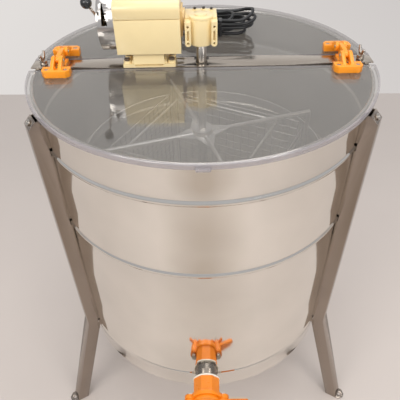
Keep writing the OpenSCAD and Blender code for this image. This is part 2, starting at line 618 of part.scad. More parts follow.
drum_shell();
drum_bottom();
pivot_cup();
pivot_bush();
leg_left();
leg_right();
leg_rear();
leg_bolts();
outlet_nipple();
gate_gasket();
gate_body();
gate_blade();
gate_studs();
gate_wing_nut_left();
gate_wing_nut_right();
crossbar();
bar_brackets();
bar_wing_bolt_left();
bar_wing_bolt_right();
front_lid();
rear_lid();
hinge_post_left();
hinge_post_right();
hinge_pins();
front_hinge_leaves();
rear_hinge_leaves();
front_leaf_screws();
rear_leaf_screws();
motor_foot();
foot_bolts();
motor_housing();
motor_cover();
motor_flange();
stator();
rotor();
motor_bearings();
speed_drum();
speed_lever();
lever_knob();
gearbox_body();
gearbox_cap();
cap_screws();
worm();
worm_bearing();
worm_wheel();
wheel_bearings();
shaft_seal();
output_shaft();
coupling_sleeve();
coupling_pin();
cage_shaft();
upper_spider();
lower_spider();
cage_hoops();
cage_screens();
frame_rails();
cord_gland();
cord_lead();
cord_hank();
plug();
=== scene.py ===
import json
import math

import bmesh
import bpy
from mathutils import Matrix, Vector, noise


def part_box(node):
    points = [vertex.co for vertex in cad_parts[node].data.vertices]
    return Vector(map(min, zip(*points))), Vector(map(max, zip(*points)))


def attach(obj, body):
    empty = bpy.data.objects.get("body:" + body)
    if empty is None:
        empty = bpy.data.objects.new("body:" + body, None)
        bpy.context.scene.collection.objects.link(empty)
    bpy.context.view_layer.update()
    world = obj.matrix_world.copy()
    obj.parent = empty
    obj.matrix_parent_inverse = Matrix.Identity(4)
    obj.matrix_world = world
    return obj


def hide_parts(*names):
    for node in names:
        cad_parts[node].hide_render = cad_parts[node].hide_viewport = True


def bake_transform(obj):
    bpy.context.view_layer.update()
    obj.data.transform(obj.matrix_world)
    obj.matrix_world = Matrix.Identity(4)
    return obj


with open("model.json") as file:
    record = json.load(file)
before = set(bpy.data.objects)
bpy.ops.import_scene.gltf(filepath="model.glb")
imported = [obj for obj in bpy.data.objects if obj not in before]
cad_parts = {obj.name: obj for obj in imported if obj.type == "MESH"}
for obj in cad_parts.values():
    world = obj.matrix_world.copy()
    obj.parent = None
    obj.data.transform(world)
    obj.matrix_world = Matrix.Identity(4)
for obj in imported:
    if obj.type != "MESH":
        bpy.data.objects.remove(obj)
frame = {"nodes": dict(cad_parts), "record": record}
NODES = frame["nodes"]
BODY = {n: b for b, ns in frame["record"]["behaviour"]["bodies"].items() for n in ns}
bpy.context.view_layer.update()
MM = 0.001

# ------------------------------------------------------------------ camera
yaw, pitch, roll = math.radians(-0.62455), math.radians(41.29974), math.radians(-1.30349)
fw = Vector((math.sin(yaw) * math.cos(pitch), math.cos(yaw) * math.cos(pitch), -math.sin(pitch)))
rt = Vector((math.cos(yaw), -math.sin(yaw), 0))
up = rt.cross(fw)
rt2 = math.cos(roll) * rt + math.sin(roll) * up
up2 = -math.sin(roll) * rt + math.cos(roll) * up
cam_data = bpy.data.cameras.new("camera")
cam = bpy.data.objects.new("camera", cam_data)
bpy.context.scene.collection.objects.link(cam)
cam_data.sensor_width = 36
cam_data.lens = 40.786
cam_data.clip_start, cam_data.clip_end = 0.02, 60
m = Matrix((rt2, up2, -fw)).transposed().to_4x4()
m.translation = Vector((0.0, -0.81247, 1.26153))
cam.matrix_world = m
bpy.context.scene.camera = cam


# ------------------------------------------------------------------ materials
def srgb(r, g, b):
    def lin(c):
        c /= 255
        return c / 12.92 if c <= 0.04045 else ((c + 0.055) / 1.055) ** 2.4

    return (lin(r), lin(g), lin(b), 1)


class Mat:
    """A material with a Principled shader and short calls for its procedural detail."""

    def __init__(self, name, color, rough, metal=0.0, **sockets):
        self.m = bpy.data.materials.new(name)
        self.m.use_nodes = True
        self.t = self.m.node_tree
        self.p = next(n for n in self.t.nodes if n.type == "BSDF_PRINCIPLED")
        self.p.inputs["Base Color"].default_value = color
        self.p.inputs["Roughness"].default_value = rough
        self.p.inputs["Metallic"].default_value = metal
        for k, v in sockets.items():
            self.p.inputs[k.replace("_", " ")].default_value = v
        self.coord = self.node("ShaderNodeTexCoord")
        self.height = None

    def node(self, kind, **props):
        n = self.t.nodes.new(kind)
        for k, v in props.items():
            setattr(n, k, v)
        return n

    def link(self, a, b):
        self.t.links.new(a, b)

    def mapped(self, scale=(1, 1, 1)):
        mp = self.node("ShaderNodeMapping")
        mp.inputs["Scale"].default_value = scale
        self.link(self.coord.outputs["Object"], mp.inputs["Vector"])
        return mp.outputs["Vector"]

    def noise(self, scale, detail=3.0, stretch=(1, 1, 1), rough=0.5):
        n = self.node("ShaderNodeTexNoise")
        n.inputs["Scale"].default_value = scale
        n.inputs["Detail"].default_value = detail
        n.inputs["Roughness"].default_value = rough
        self.link(self.mapped(stretch), n.inputs["Vector"])
        return n.outputs["Fac"]

    def ramp(self, fac, stops):
        r = self.node("ShaderNodeValToRGB")
        e = r.color_ramp.elements
        while len(e) < len(stops):
            e.new(0.5)
        for el, (pos, col) in zip(e, stops):
            el.position = pos
            el.color = col if len(col) == 4 else (*col, 1)
        self.link(fac, r.inputs["Fac"])
        return r.outputs["Color"]

    def span(self, fac, lo, hi, a=0.3, b=0.7):
        r = self.node("ShaderNodeMapRange")
        r.inputs["From Min"].default_value, r.inputs["From Max"].default_value = a, b
        r.inputs["To Min"].default_value, r.inputs["To Max"].default_value = lo, hi
        self.link(fac, r.inputs["Value"])
        return r.outputs["Result"]

    def colour(self, fac, stops):
        self.link(self.ramp(fac, stops), self.p.inputs["Base Color"])
        return self

    def roughness(self, fac, lo, hi):
        self.link(self.span(fac, lo, hi), self.p.inputs["Roughness"])
        return self

    def bump(self, fac, strength, distance):
        b = self.node("ShaderNodeBump")
        b.inputs["Strength"].default_value = strength
        b.inputs["Distance"].default_value = distance
        self.link(fac, b.inputs["Height"])
        if self.height is not None:
            self.link(self.height, b.inputs["Normal"])
        self.height = b.outputs["Normal"]
        self.link(self.height, self.p.inputs["Normal"])
        return self


def scaled(c, k):
    return (min(1, c[0] * k), min(1, c[1] * k), min(1, c[2] * k), 1)


def mottled(mat, color, amount, scale, stretch=(1, 1, 1), detail=3.0):
    f = mat.noise(scale, detail, stretch)
    mat.colour(f, [(0.3, scaled(color, 1 - amount)), (0.7, scaled(color, 1 + amount))])
    return f


def steel(name, color, rough, wave=0.0, brush=(1, 1, 60), brush_scale=14, brush_bump=0.02, spread=0.05):
    mt = Mat(name, color, rough, 1.0)
    mottled(mt, color, 0.05, 9, detail=2)
    grain = mt.noise(brush_scale, 6, brush, 0.65)
    mt.roughness(grain, max(0.02, rough - spread), rough + spread)
    if wave:
        mt.bump(mt.noise(3.2, 1.5), wave, 0.01)
    if brush_bump:
        mt.bump(grain, brush_bump, 0.0006)
    return mt.m


def paint(name, color, rough, coat=0.3):
    mt = Mat(name, color, rough, 0.0, Coat_Weight=coat, Coat_Roughness=0.12)
    mottled(mt, color, 0.04, 16, detail=4)
    mt.roughness(mt.noise(60, 4), rough - 0.06, rough + 0.08)
    mt.bump(mt.noise(900, 2), 0.06, 0.0004)
    mt.bump(mt.noise(60, 3), 0.08, 0.0006)
    return mt.m


def plastic(name, color, rough, grain=1200, strength=0.1, coat=0.0):
    mt = Mat(name, color, rough, 0.0, Coat_Weight=coat)
    mottled(mt, color, 0.06, 25, detail=4)
    mt.roughness(mt.noise(140, 4), rough - 0.07, rough + 0.09)
    mt.bump(mt.noise(grain, 3), strength, 0.0004)
    mt.bump(mt.noise(45, 2), 0.06, 0.0008)
    return mt.m


DRUM = steel("drum_steel", (0.80, 0.765, 0.71, 1), 0.07, wave=0.16, brush=(3, 3, 90), brush_bump=0.01, spread=0.03)
LEG = steel("leg_steel", (0.35, 0.295, 0.25, 1), 0.2, wave=0.1, brush=(14, 14, 1.2), brush_bump=0.008, spread=0.06)
BAR = steel("bar_steel", (0.50, 0.45, 0.395, 1), 0.22, brush=(1.5, 40, 40), brush_bump=0.012, spread=0.06)
CAGE = steel("cage_steel", (0.86, 0.83, 0.79, 1), 0.32, brush=(8, 8, 8), brush_bump=0.01)
WIRE = steel("screen_wire", (0.55, 0.52, 0.48, 1), 0.42, brush=(8, 8, 8), brush_bump=0.01)
INSIDE = steel("drum_inside", (0.80, 0.76, 0.70, 1), 0.36, brush=(3, 3, 60), brush_bump=0.01, spread=0.07)
BRIGHT = steel("bright_steel", (0.50, 0.465, 0.42, 1), 0.3, brush=(30, 30, 30), brush_bump=0.004)
CHROME = steel("chrome", (0.66, 0.62, 0.58, 1), 0.17, brush=(90, 3, 3), brush_bump=0.0, spread=0.02)
NIPPLE = steel("turned_steel", (0.31, 0.28, 0.25, 1), 0.26, brush=(6, 90, 6), brush_bump=0.01)
SCREW = steel("dull_screw_steel", (0.30, 0.25, 0.20, 1), 0.34, brush=(20, 20, 20), brush_bump=0.02)
BLACKSTEEL = steel("black_steel", (0.09, 0.085, 0.08, 1), 0.38, brush=(20, 20, 20), brush_bump=0.05)
BRONZE = steel("bronze", (0.75, 0.49, 0.22, 1), 0.25, brush=(20, 20, 20), brush_bump=0.04)
COPPER = steel("winding_steel", (0.42, 0.40, 0.38, 1), 0.35, brush=(120, 2, 2), brush_bump=0.15)
CREAM = paint("cream_paint", srgb(236, 214, 163), 0.34)
# painted shade: a darker copy of the cream paint for the set-back motor flange between housing and gearbox
CREAM_SHADED = paint("cream_painted_shade", srgb(222, 190, 130), 0.38)
HINGE = plastic("hinge_orange", srgb(247, 152, 28), 0.36, coat=0.15)
GATE = plastic("gate_orange", srgb(240, 134, 10), 0.33, coat=0.2)
GASKET = plastic("gasket_rubber", srgb(236, 230, 216), 0.5)
BLACK = plastic("black_plastic", (0.013, 0.013, 0.014, 1), 0.3, coat=0.3)
RUBBER = plastic("black_rubber", (0.011, 0.011, 0.012, 1), 0.42, grain=1500, strength=0.2)
BUSH = plastic("bush_plastic", srgb(232, 228, 218), 0.45)


def clear_sheet():
    """Clear plastic sheet: a light haze with fine scuffs, and a strong gloss."""
    mt = Mat("clear_lid", (0.24, 0.225, 0.206, 1), 0.035, 0.0, Alpha=0.32, IOR=3.2, Specular_IOR_Level=0.5, Coat_Weight=1.0, Coat_Roughness=0.02)
    mt.p.inputs["Coat IOR"].default_value = 2.4
    mt.colour(mt.noise(7, 3), [(0.35, (0.21, 0.195, 0.178)), (0.7, (0.275, 0.256, 0.234))])
    mt.roughness(mt.noise(22, 5), 0.02, 0.07)
    mt.bump(mt.noise(2.5, 1.0), 0.03, 0.004)
    return mt.m


LID = clear_sheet()
# painted highlight: a brighter, more opaque copy of the clear sheet for the lid's lip, straight cut edge and tab,
# standing for the light these edges catch
LID_EDGE_HIGHLIGHT = Mat("clear_lid_painted_highlight", (0.36, 0.33, 0.34, 1), 0.14, 0.0, Alpha=0.55, IOR=1.6, Coat_Weight=0.4)
mottled(LID_EDGE_HIGHLIGHT, (0.36, 0.33, 0.34, 1), 0.06, 20)
LID_EDGE_HIGHLIGHT = LID_EDGE_HIGHLIGHT.m

NODE_MAT = {
    DRUM: ["drum_shell", "drum_bottom", "pivot_cup"],
    LEG: ["leg_left", "leg_right", "leg_rear"],
    BAR: ["crossbar", "bar_brackets"],
    CAGE: ["cage_shaft", "upper_spider", "lower_spider", "cage_hoops", "cage_screens", "frame_rails"],
    NIPPLE: ["outlet_nipple"],
    SCREW: ["foot_bolts"],
    BRIGHT: ["leg_bolts", "gate_studs", "bar_wing_bolt_left", "bar_wing_bolt_right", "hinge_pins", "front_leaf_screws", "rear_leaf_screws",
             "motor_bearings", "worm_bearing", "wheel_bearings", "output_shaft", "coupling_sleeve", "worm", "rotor"],
    CHROME: ["speed_drum", "speed_lever"],
    BLACKSTEEL: ["cap_screws", "coupling_pin"],
    BRONZE: ["worm_wheel"],
    COPPER: ["stator"],
    CREAM: ["motor_foot", "motor_housing", "motor_cover", "gearbox_body", "gearbox_cap"],
    # the motor flange takes the darker cream, painted shade
    CREAM_SHADED: ["motor_flange"],
    HINGE: ["hinge_post_left", "hinge_post_right", "front_hinge_leaves", "rear_hinge_leaves"],
    GATE: ["gate_body", "gate_blade", "gate_wing_nut_left", "gate_wing_nut_right"],
    GASKET: ["gate_gasket"],
    BLACK: ["lever_knob", "cord_gland", "plug"],
    RUBBER: ["cord_lead", "cord_hank", "shaft_seal"],
    BUSH: ["pivot_bush"],
    LID: ["front_lid", "rear_lid"],
}
MAT_OF = {n: mt for mt, ns in NODE_MAT.items() for n in ns}


# ------------------------------------------------------------------ mesh helpers
def place(bm, name, mat, body, replaces=(), angle=35.0, mats=None):
    """Finishes a bmesh in metres as a piece that rides on a body."""
    bmesh.ops.recalc_face_normals(bm, faces=bm.faces)
    me = bpy.data.meshes.new(name)
    bm.to_mesh(me)
    bm.free()
    for mt in mats or [mat]:
        me.materials.append(mt)
    for p in me.polygons:
        p.use_smooth = True
    me.set_sharp_from_angle(angle=math.radians(angle))
    o = bpy.data.objects.new(name, me)
    bpy.context.scene.collection.objects.link(o)
    if body:
        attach(o, body)
    if replaces:
        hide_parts(*replaces)
    return o


def frame_to_mm(bm):
    for v in bm.verts:
        v.co *= MM


def lathe(profile, segs=96, closed=True, cut=None):
    """Revolves a closed loop of (r, z) in mm round Z. Points at r=0 share one vertex."""
    bm = bmesh.new()
    rings = []
    for r, z in profile:
        if r < 1e-6:
            v = bm.verts.new((0, 0, z))
            rings.append([v] * segs)
        else:
            rings.append([bm.verts.new((r * math.cos(2 * math.pi * k / segs), r * math.sin(2 * math.pi * k / segs), z)) for k in range(segs)])
    n = len(rings)
    for i in range(n if closed else n - 1):
        a, b = rings[i], rings[(i + 1) % n]
        for k in range(segs):
            q = [a[k], a[(k + 1) % segs], b[(k + 1) % segs], b[k]]
            u = []
            for v in q:
                if v not in u:
                    u.append(v)
            if len(u) >= 3:
                bm.faces.new(u)
    return bm


def tube(path, r, sides=16, cap=True, radii=None):
    """A tube in mm along a path, with its frame carried along without twist."""
    bm = bmesh.new()
    pts = [Vector(p) for p in path]
    n = len(pts)
    tang = [(pts[min(i + 1, n - 1)] - pts[max(i - 1, 0)]).normalized() for i in range(n)]
    ref = Vector((0, 0, 1)) if abs(tang[0].z) < 0.9 else Vector((1, 0, 0))
    u = tang[0].cross(ref).normalized()
    rings = []
    for i in range(n):
        u = (u - tang[i] * u.dot(tang[i])).normalized()
        v = tang[i].cross(u)
        rr = radii[i] if radii else r
        rings.append([bm.verts.new(pts[i] + rr * (math.cos(2 * math.pi * k / sides) * u + math.sin(2 * math.pi * k / sides) * v)) for k in range(sides)])
    for i in range(n - 1):
        for k in range(sides):
            bm.faces.new([rings[i][k], rings[i][(k + 1) % sides], rings[i + 1][(k + 1) % sides], rings[i + 1][k]])
    if cap:
        bm.faces.new(rings[0][::-1])
        bm.faces.new(rings[-1])
    return bm


def joined(parts):
    out = bmesh.new()
    for b in parts:
        me = bpy.data.meshes.new("tmp")
        b.to_mesh(me)
        b.free()
        out.from_mesh(me)
        bpy.data.meshes.remove(me)
    return out


def smooth_path(points, per=8):
    """Catmull-Rom through the points."""
    p = [Vector(q) for q in points]
    p = [p[0] * 2 - p[1]] + p + [p[-1] * 2 - p[-2]]
    out = []
    for i in range(1, len(p) - 2):
        for j in range(per):
            t = j / per
            a, b, c, d = p[i - 1], p[i], p[i + 1], p[i + 2]
            out.append(0.5 * (2 * b + (c - a) * t + (2 * a - 5 * b + 4 * c - d) * t * t + (3 * b - a - 3 * c + d) * t ** 3))
    out.append(p[-2])
    return out


def even_path(pts, step):
    """The same path at even steps."""
    out, need = [pts[0].copy()], step
    for a, b in zip(pts, pts[1:]):
        d = (b - a).length
        while need <= d:
            out.append(a.lerp(b, need / d))
            need += step
        need -= d
    if (out[-1] - pts[-1]).length < step * 0.5:
        out[-1] = pts[-1].copy()
    else:
        out.append(pts[-1].copy())
    return out


def refined(node, width=0.8, segs=2, angle=32.0, mat=None, merge=0.02):
    """A copy of a CAD node with its edges rounded. It stands for the node. The node itself is kept if the copy would be worse."""
    src = NODES[node].data
    bm = bmesh.new()
    bm.from_mesh(src)
    bmesh.ops.remove_doubles(bm, verts=bm.verts, dist=merge * MM)
    vol0 = bm.calc_volume()
    bmesh.ops.dissolve_limit(bm, angle_limit=math.radians(0.4), verts=bm.verts, edges=bm.edges)
    bmesh.ops.dissolve_degenerate(bm, edges=bm.edges, dist=1e-6)
    sharp = [e for e in bm.edges if len(e.link_faces) == 2 and e.calc_face_angle(0) > math.radians(angle)]
    ok = True
    if sharp and width > 0:
        bmesh.ops.bevel(bm, geom=sharp, offset=width * MM, segments=segs, profile=0.5, affect="EDGES", clamp_overlap=True, harden_normals=False)
        bmesh.ops.remove_doubles(bm, verts=bm.verts, dist=2e-6)
    bmesh.ops.triangulate(bm, faces=bm.faces)
    vol1 = bm.calc_volume()
    open_edges = sum(1 for e in bm.edges if len(e.link_faces) != 2)
    lo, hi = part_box(node)
    outside = any(v.co[i] < lo[i] - 1e-4 or v.co[i] > hi[i] + 1e-4 for v in bm.verts for i in range(3))
    if vol0 <= 0 or abs(vol1 - vol0) > 0.06 * abs(vol0) or outside:
        ok = False
    if not ok:
        bm.free()
        print("REFINE kept the CAD mesh of", node, round(vol0 * 1e9), round(vol1 * 1e9), open_edges, outside)
        dress(node, mat)
        return None
    if open_edges:
        print("REFINE open edges", node, open_edges)
    return place(bm, node + "_piece", mat or MAT_OF[node], BODY[node], [node], angle=40)


def dress(node, mat=None):
    o = NODES[node]
    mt = mat or MAT_OF[node]
    if not o.material_slots:
        o.data.materials.append(mt)
    for s in o.material_slots:
        s.material = mt


# ------------------------------------------------------------------ cord: one flexible cable, from the motor's back into a hank on the rear lid
LEAD = [(-110, 90, 945), (-110, 98, 944.5), (-109, 106, 942), (-106, 113, 936), (-101, 119, 928), (-94, 123.5, 919),
        (-85, 126.5, 910.5), (-75, 127.8, 904), (-64, 128, 900), (-53, 128, 898.2), (-42, 128, 897.6)]
X0, X1, YC = -13.0, 81.0, 146.0
R_IN, R_OUT = 22.0, 29.6


def hank_path():
    """Laps of a loose hank. Each lap: front run, right end, back run, left end; given by its radius, its heights and how far its right end stops short."""
    #      radius, z front, z right, z back, z left, short
    laps = [
        (R_IN, 898.3, 898.7, 899.0, 902.3, 10),
        (R_IN, 905.6, 907.6, 905.9, 909.3, 30),
        (R_IN, 912.8, 921.4, 919.8, 919.9, 12),
        (R_IN, 920.0, 931.4, 926.8, 927.0, 36),
        (R_OUT, 927.1, 940.0, 927.1, 923.6, 3),
        (R_OUT, 920.0, 925.9, 919.8, 916.4, -2.5),
    ]
    pts = []
    n = len(laps)
    for i, (r, zf, zr, zb, zl, short) in enumerate(laps):
        nr, nzf = (laps[i + 1][0], laps[i + 1][1]) if i + 1 < n else (R_OUT, 912.9)
        pr = laps[i - 1][0] if i else r
        xe = X1 - short
        start = -4 if i == 0 else 0
        for k in range(start + 0, 9):  # front run, moving from the last lap's radius to this one's
            if k < 0:
                continue
            t = k / 8
            s = t * t * (3 - 2 * t)
            y = YC - (pr + (r - pr) * s)
            if i == 0:
                y = 128 + (YC - r - 128) * s
            pts.append((X0 + (xe - X0) * t, y, zf))
        for k in range(1, 12):  # right end, climbing evenly
            a = -math.pi / 2 + math.pi * k / 12
            t = k / 12
            z = zf + (zr - zf) * min(1, 2 * t) if t <= 0.5 else zr + (zb - zr) * (2 * t - 1)
            pts.append((xe + r * math.cos(a), YC + r * math.sin(a), z))
        for k in range(0, 9):  # back run
            t = k / 8
            pts.append((xe + (X0 - xe) * t, YC + r, zb))
        for k in range(1, 12):  # left end: level past the place where the last run leaves, then to the next lap's height
            a = math.pi / 2 + math.pi * k / 12
            t = k / 12
            q = max(0.0, (t - 0.34) / 0.66)
            q = q * q * (3 - 2 * q)
            z = zb + (nzf - zb) * q
            pts.append((X0 + r * math.cos(a), YC + r * math.sin(a), z))
    # last run: front, right end, back and out to the plug
    for k in range(0, 9):
        pts.append((X0 + (X1 - 3 - X0) * k / 8, YC - R_OUT, 912.9))
    for k in range(1, 12):
        a = -math.pi / 2 + math.pi * k / 12
        pts.append((X1 - 3 + R_OUT * math.cos(a), YC + R_OUT * math.sin(a), 912.9))
    for k in range(0, 7):
        t = k / 9
        s = t * t * (3 - 2 * t)
        pts.append((X1 - 3 + (X0 - 6 - X1 + 3) * t, YC + R_OUT + (160 - YC - R_OUT) * s, 912.8))
    for t in (7 / 9, 8 / 9, 1.0):
        s = t * t * (3 - 2 * t)
        pts.append((X1 - 3 + (X0 - 6 - X1 + 3) * t, YC + R_OUT + (160 - YC - R_OUT) * s, 912.6))
    pts += [(-30, 160, 912.4), (-44, 160, 912.3), (-48, 160, 912.3)]
    return pts


lead_pts = smooth_path(LEAD, 6)
hank_pts = smooth_path([(-42, 128, 897.6), (-30, 128, 897.8)] + hank_path(), 5)[1:]
route = even_path(lead_pts + hank_pts, 4.0)
# average out the corners a little, keeping both ends
for _ in range(3):
    route = [route[0], route[1]] + [route[i] * 0.5 + (route[i - 1] + route[i + 1]) * 0.25 for i in range(2, len(route) - 2)] + [route[-2], route[-1]]
bm = tube(route, 3.25, 14)
frame_to_mm(bm)
cord = place(bm, "power_cord", RUBBER, None, angle=60)
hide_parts("cord_lead", "cord_hank")


def plug_piece():
    """A moulded two-pin plug with a ribbed relief."""
    prof = []
    for i in range(12):  # ribbed relief, from the cord towards the body
        x = -43.5 - i * 2.8
        r = 4.6 + 4.2 * i / 11
        prof += [(r, x), (r, x - 1.5), (r - 0.9, x - 1.7), (r - 0.9, x - 2.6)]
    prof += [(9.4, -77), (14.5, -79), (17.4, -83), (18, -88), (18, -108), (17.2, -111), (15.5, -112), (0, -112)]
    prof = [(0, -43.5), (3.2, -43.5)] + prof
    b = lathe(prof, 40, closed=False)
    rot = Matrix(((0, 0, 1), (0, 1, 0), (-1, 0, 0)))
    for v in b.verts:
        v.co = rot @ v.co + Vector((0, 160, 912.3))
    # finger flats on both sides
    for v in b.verts:
        if -108 < v.co.x < -84:
            v.co.y = 160 + max(-15.5, min(15.5, v.co.y - 160))
    pins = []
    for y in (-9.5, 9.5):
        pr = [(0, -111), (2.4, -111), (2.4, -129.6), (1.9, -130.7), (0.9, -131), (0, -131)]
        c = lathe(pr, 20, closed=False)
        for v in c.verts:
            v.co = rot @ v.co + Vector((0, 160 + y, 912.3))
        pins.append(c)
    frame_to_mm(b)
    body = place(b, "plug_body", BLACK, "rear_lid", ["plug"], angle=38)
    pj = joined(pins)
    frame_to_mm(pj)
    pin = place(pj, "plug_pins", CHROME, "rear_lid", angle=38)
    return body, pin


plug_body, plug_pins = plug_piece()


def tie_piece():
    """A flat tie round the front runs of the hank."""
    y0, y1, z0, z1, r, t = 112.6, 127.8, 894.6, 930.9, 3.6, 0.8
    loop = []
    for cy, cz, a0 in ((y1 - r, z1 - r, 0), (y0 + r, z1 - r, 90), (y0 + r, z0 + r, 180), (y1 - r, z0 + r, 270)):
        for k in range(7):
            a = math.radians(a0 + 15 * k)
            loop.append((cy, cz, math.cos(a), math.sin(a)))
    b = bmesh.new()
    rings = []
    for cy, cz, c, s in loop:
        rings.append([b.verts.new((x, cy + rr * c, cz + rr * s)) for x, rr in ((36, r - t + 0.1), (36, r - 0.1), (36.4, r), (41.6, r), (42, r - 0.1), (42, r - t + 0.1))])
    n = len(rings)
    for i in range(n):
        p, q = rings[i], rings[(i + 1) % n]
        for k in range(6):
            b.faces.new([p[k], p[(k + 1) % 6], q[(k + 1) % 6], q[k]])
    frame_to_mm(b)
    o = place(b, "cord_tie", BLACK, "rear_lid", angle=50)
    return o


tie = tie_piece()
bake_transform(cord)


# ------------------------------------------------------------------ drum
def bead_points(z0, off, steps=12):
    """A rolled bead with soft feet, from 7 mm below z0 to 7 mm above it."""
    return [(310 + off + 3.0 * (0.5 - 0.5 * math.cos(2 * math.pi * i / steps)) ** 0.8, z0 - 7 + 14 * i / steps) for i in range(steps + 1)]


def drum_piece():
    outer, inner = [(310, 254.2)], [(308.8, 254.2)]
    for z0 in (307, 644, 811):
        outer += bead_points(z0, 0)
        inner += bead_points(z0, -1.2)
        top = {307: (420, 530), 644: (700, 755), 811: ()}[z0]
        outer += [(310, z) for z in top]
        inner += [(308.8, z) for z in top]
    outer += [(310, 850), (310, 880), (310, 882.4)]
    inner += [(308.8, 850), (308.8, 880), (308.8, 883.4)]
    rim = []
    a0, a1 = -112.0, 216.0
    for i in range(27):
        a = math.radians(a0 + (a1 - a0) * i / 26)
        rim.append((311.5 + 3.5 * math.cos(a), 886 + 3.5 * math.sin(a)))
    b = lathe(outer + rim + inner[::-1], 240)
    bmesh.ops.recalc_face_normals(b, faces=b.faces)
    frame_to_mm(b)
    me = bpy.data.meshes.new("drum_tmp")
    b.to_mesh(me)
    b.free()
    o = bpy.data.objects.new("drum_tmp", me)
    bpy.context.scene.collection.objects.link(o)
    c = lathe([(0, -20), (24.1, -20), (24.1, 20), (0, 20)], 64, closed=False)
    for v in c.verts:
        v.co = Vector((v.co.x, -310 + v.co.z, 307 + v.co.y)) * MM
    bmesh.ops.recalc_face_normals(c, faces=c.faces)
    cm = bpy.data.meshes.new("cut_tmp")
    c.to_mesh(cm)
    c.free()
    co = bpy.data.objects.new("cut_tmp", cm)
    bpy.context.scene.collection.objects.link(co)
    md = o.modifiers.new("cut", "BOOLEAN")
    md.object, md.operation, md.solver = co, "DIFFERENCE", "EXACT"
    dg = bpy.context.evaluated_depsgraph_get()
    dg.update()
    done = bpy.data.meshes.new_from_object(o.evaluated_get(dg))
    out = bmesh.new()
    out.from_mesh(done)
    for x in (o, co):
        bpy.data.objects.remove(x)
    for x in (me, cm, done):
        bpy.data.meshes.remove(x)
    for f in out.faces:
        c = f.calc_center_median()
        f.material_index = 1 if f.normal.x * c.x + f.normal.y * c.y < -0.2 * math.hypot(c.x, c.y) and c.z < 0.8835 else 0
    return place(out, "drum_wall", DRUM, "root", ["drum_shell"], angle=30, mats=[DRUM, INSIDE])


drum_piece()

# bottom: shallow cone with a turned-down edge
b = lathe([(0, 294.7), (39.5, 294.6), (120, 289.6), (306.6, 276.9), (306.6, 262), (307, 261.7), (308.5, 261.9), (308.6, 263), (308.6, 277.4), (307.6, 278.5), (120, 291.1), (40, 295.9), (0, 296)], 160, closed=False)
frame_to_mm(b)
place(b, "drum_floor", INSIDE, "root", ["drum_bottom"], angle=30)

# ------------------------------------------------------------------ half lids
def lid_piece(sign, name, node):
    """A clear half disc with a rounded turned-down lip and a small lift tab."""
    def arc(cr, cz, r, a0, a1, n=6):
        return [(cr + r * math.cos(math.radians(a0 + (a1 - a0) * i / n)), cz + r * math.sin(math.radians(a0 + (a1 - a0) * i / n))) for i in range(n + 1)]

    prof = [(0, 894), (120, 894), (240, 894), (310, 894)] + arc(319, 891, 3.0, 90, 0) + [(322, 886.5)] + arc(320.7, 885.3, 1.3, 0, -180, 6) + [(319.4, 887)] + arc(317.4, 888, 2.0, 0, 90, 4) + [(300, 890), (240, 890), (120, 890), (0, 890)]
    b = lathe(prof, 200)
    bmesh.ops.remove_doubles(b, verts=b.verts, dist=0.001)
    g = list(b.verts) + list(b.edges) + list(b.faces)
    r = bmesh.ops.bisect_plane(b, geom=g, plane_co=(0, -24.5 if sign < 0 else 24.5, 0), plane_no=(0, -sign, 0), clear_outer=True)
    cut = [e for e in r["geom_cut"] if isinstance(e, bmesh.types.BMEdge)]
    bmesh.ops.contextual_create(b, geom=cut)
    # lift tab
    tab = bmesh.new()
    ys = [318.5, 326.5, 328.6, 329]
    zs = (886.1, 888.9)
    outline = [(-11, 318.5), (-11, 326.5), (-10.2, 328.3), (-8.5, 329), (8.5, 329), (10.2, 328.3), (11, 326.5), (11, 318.5)]
    lo_v = [tab.verts.new((x, sign * y, zs[0])) for x, y in outline]
    hi_v = [tab.verts.new((x, sign * y, zs[1])) for x, y in outline]
    tab.faces.new(lo_v)
    tab.faces.new(hi_v)
    for i in range(len(outline)):
        j = (i + 1) % len(outline)
        tab.faces.new([lo_v[i], lo_v[j], hi_v[j], hi_v[i]])
    bmesh.ops.recalc_face_normals(tab, faces=tab.faces)
    # the outer lip, the straight cut edge faces and the tab get the brighter lid material, a painted highlight along
    # the edges
    for f in b.faces:
        c = f.calc_center_median()
        f.material_index = 1 if math.hypot(c.x, c.y) > 317.8 or abs(f.normal.y) > 0.99 and abs(c.y) < 25 else 0
    for f in tab.faces:
        f.material_index = 1
    bb = joined([b, tab])
    frame_to_mm(bb)
    return place(bb, name, LID, BODY[node], [node], angle=40, mats=[LID, LID_EDGE_HIGHLIGHT])


lid_piece(-1, "front_half_lid", "front_lid")
lid_piece(1, "rear_half_lid", "rear_lid")


# ------------------------------------------------------------------ woven wire screens and posts of the cage
CAGE_A = math.radians(18)


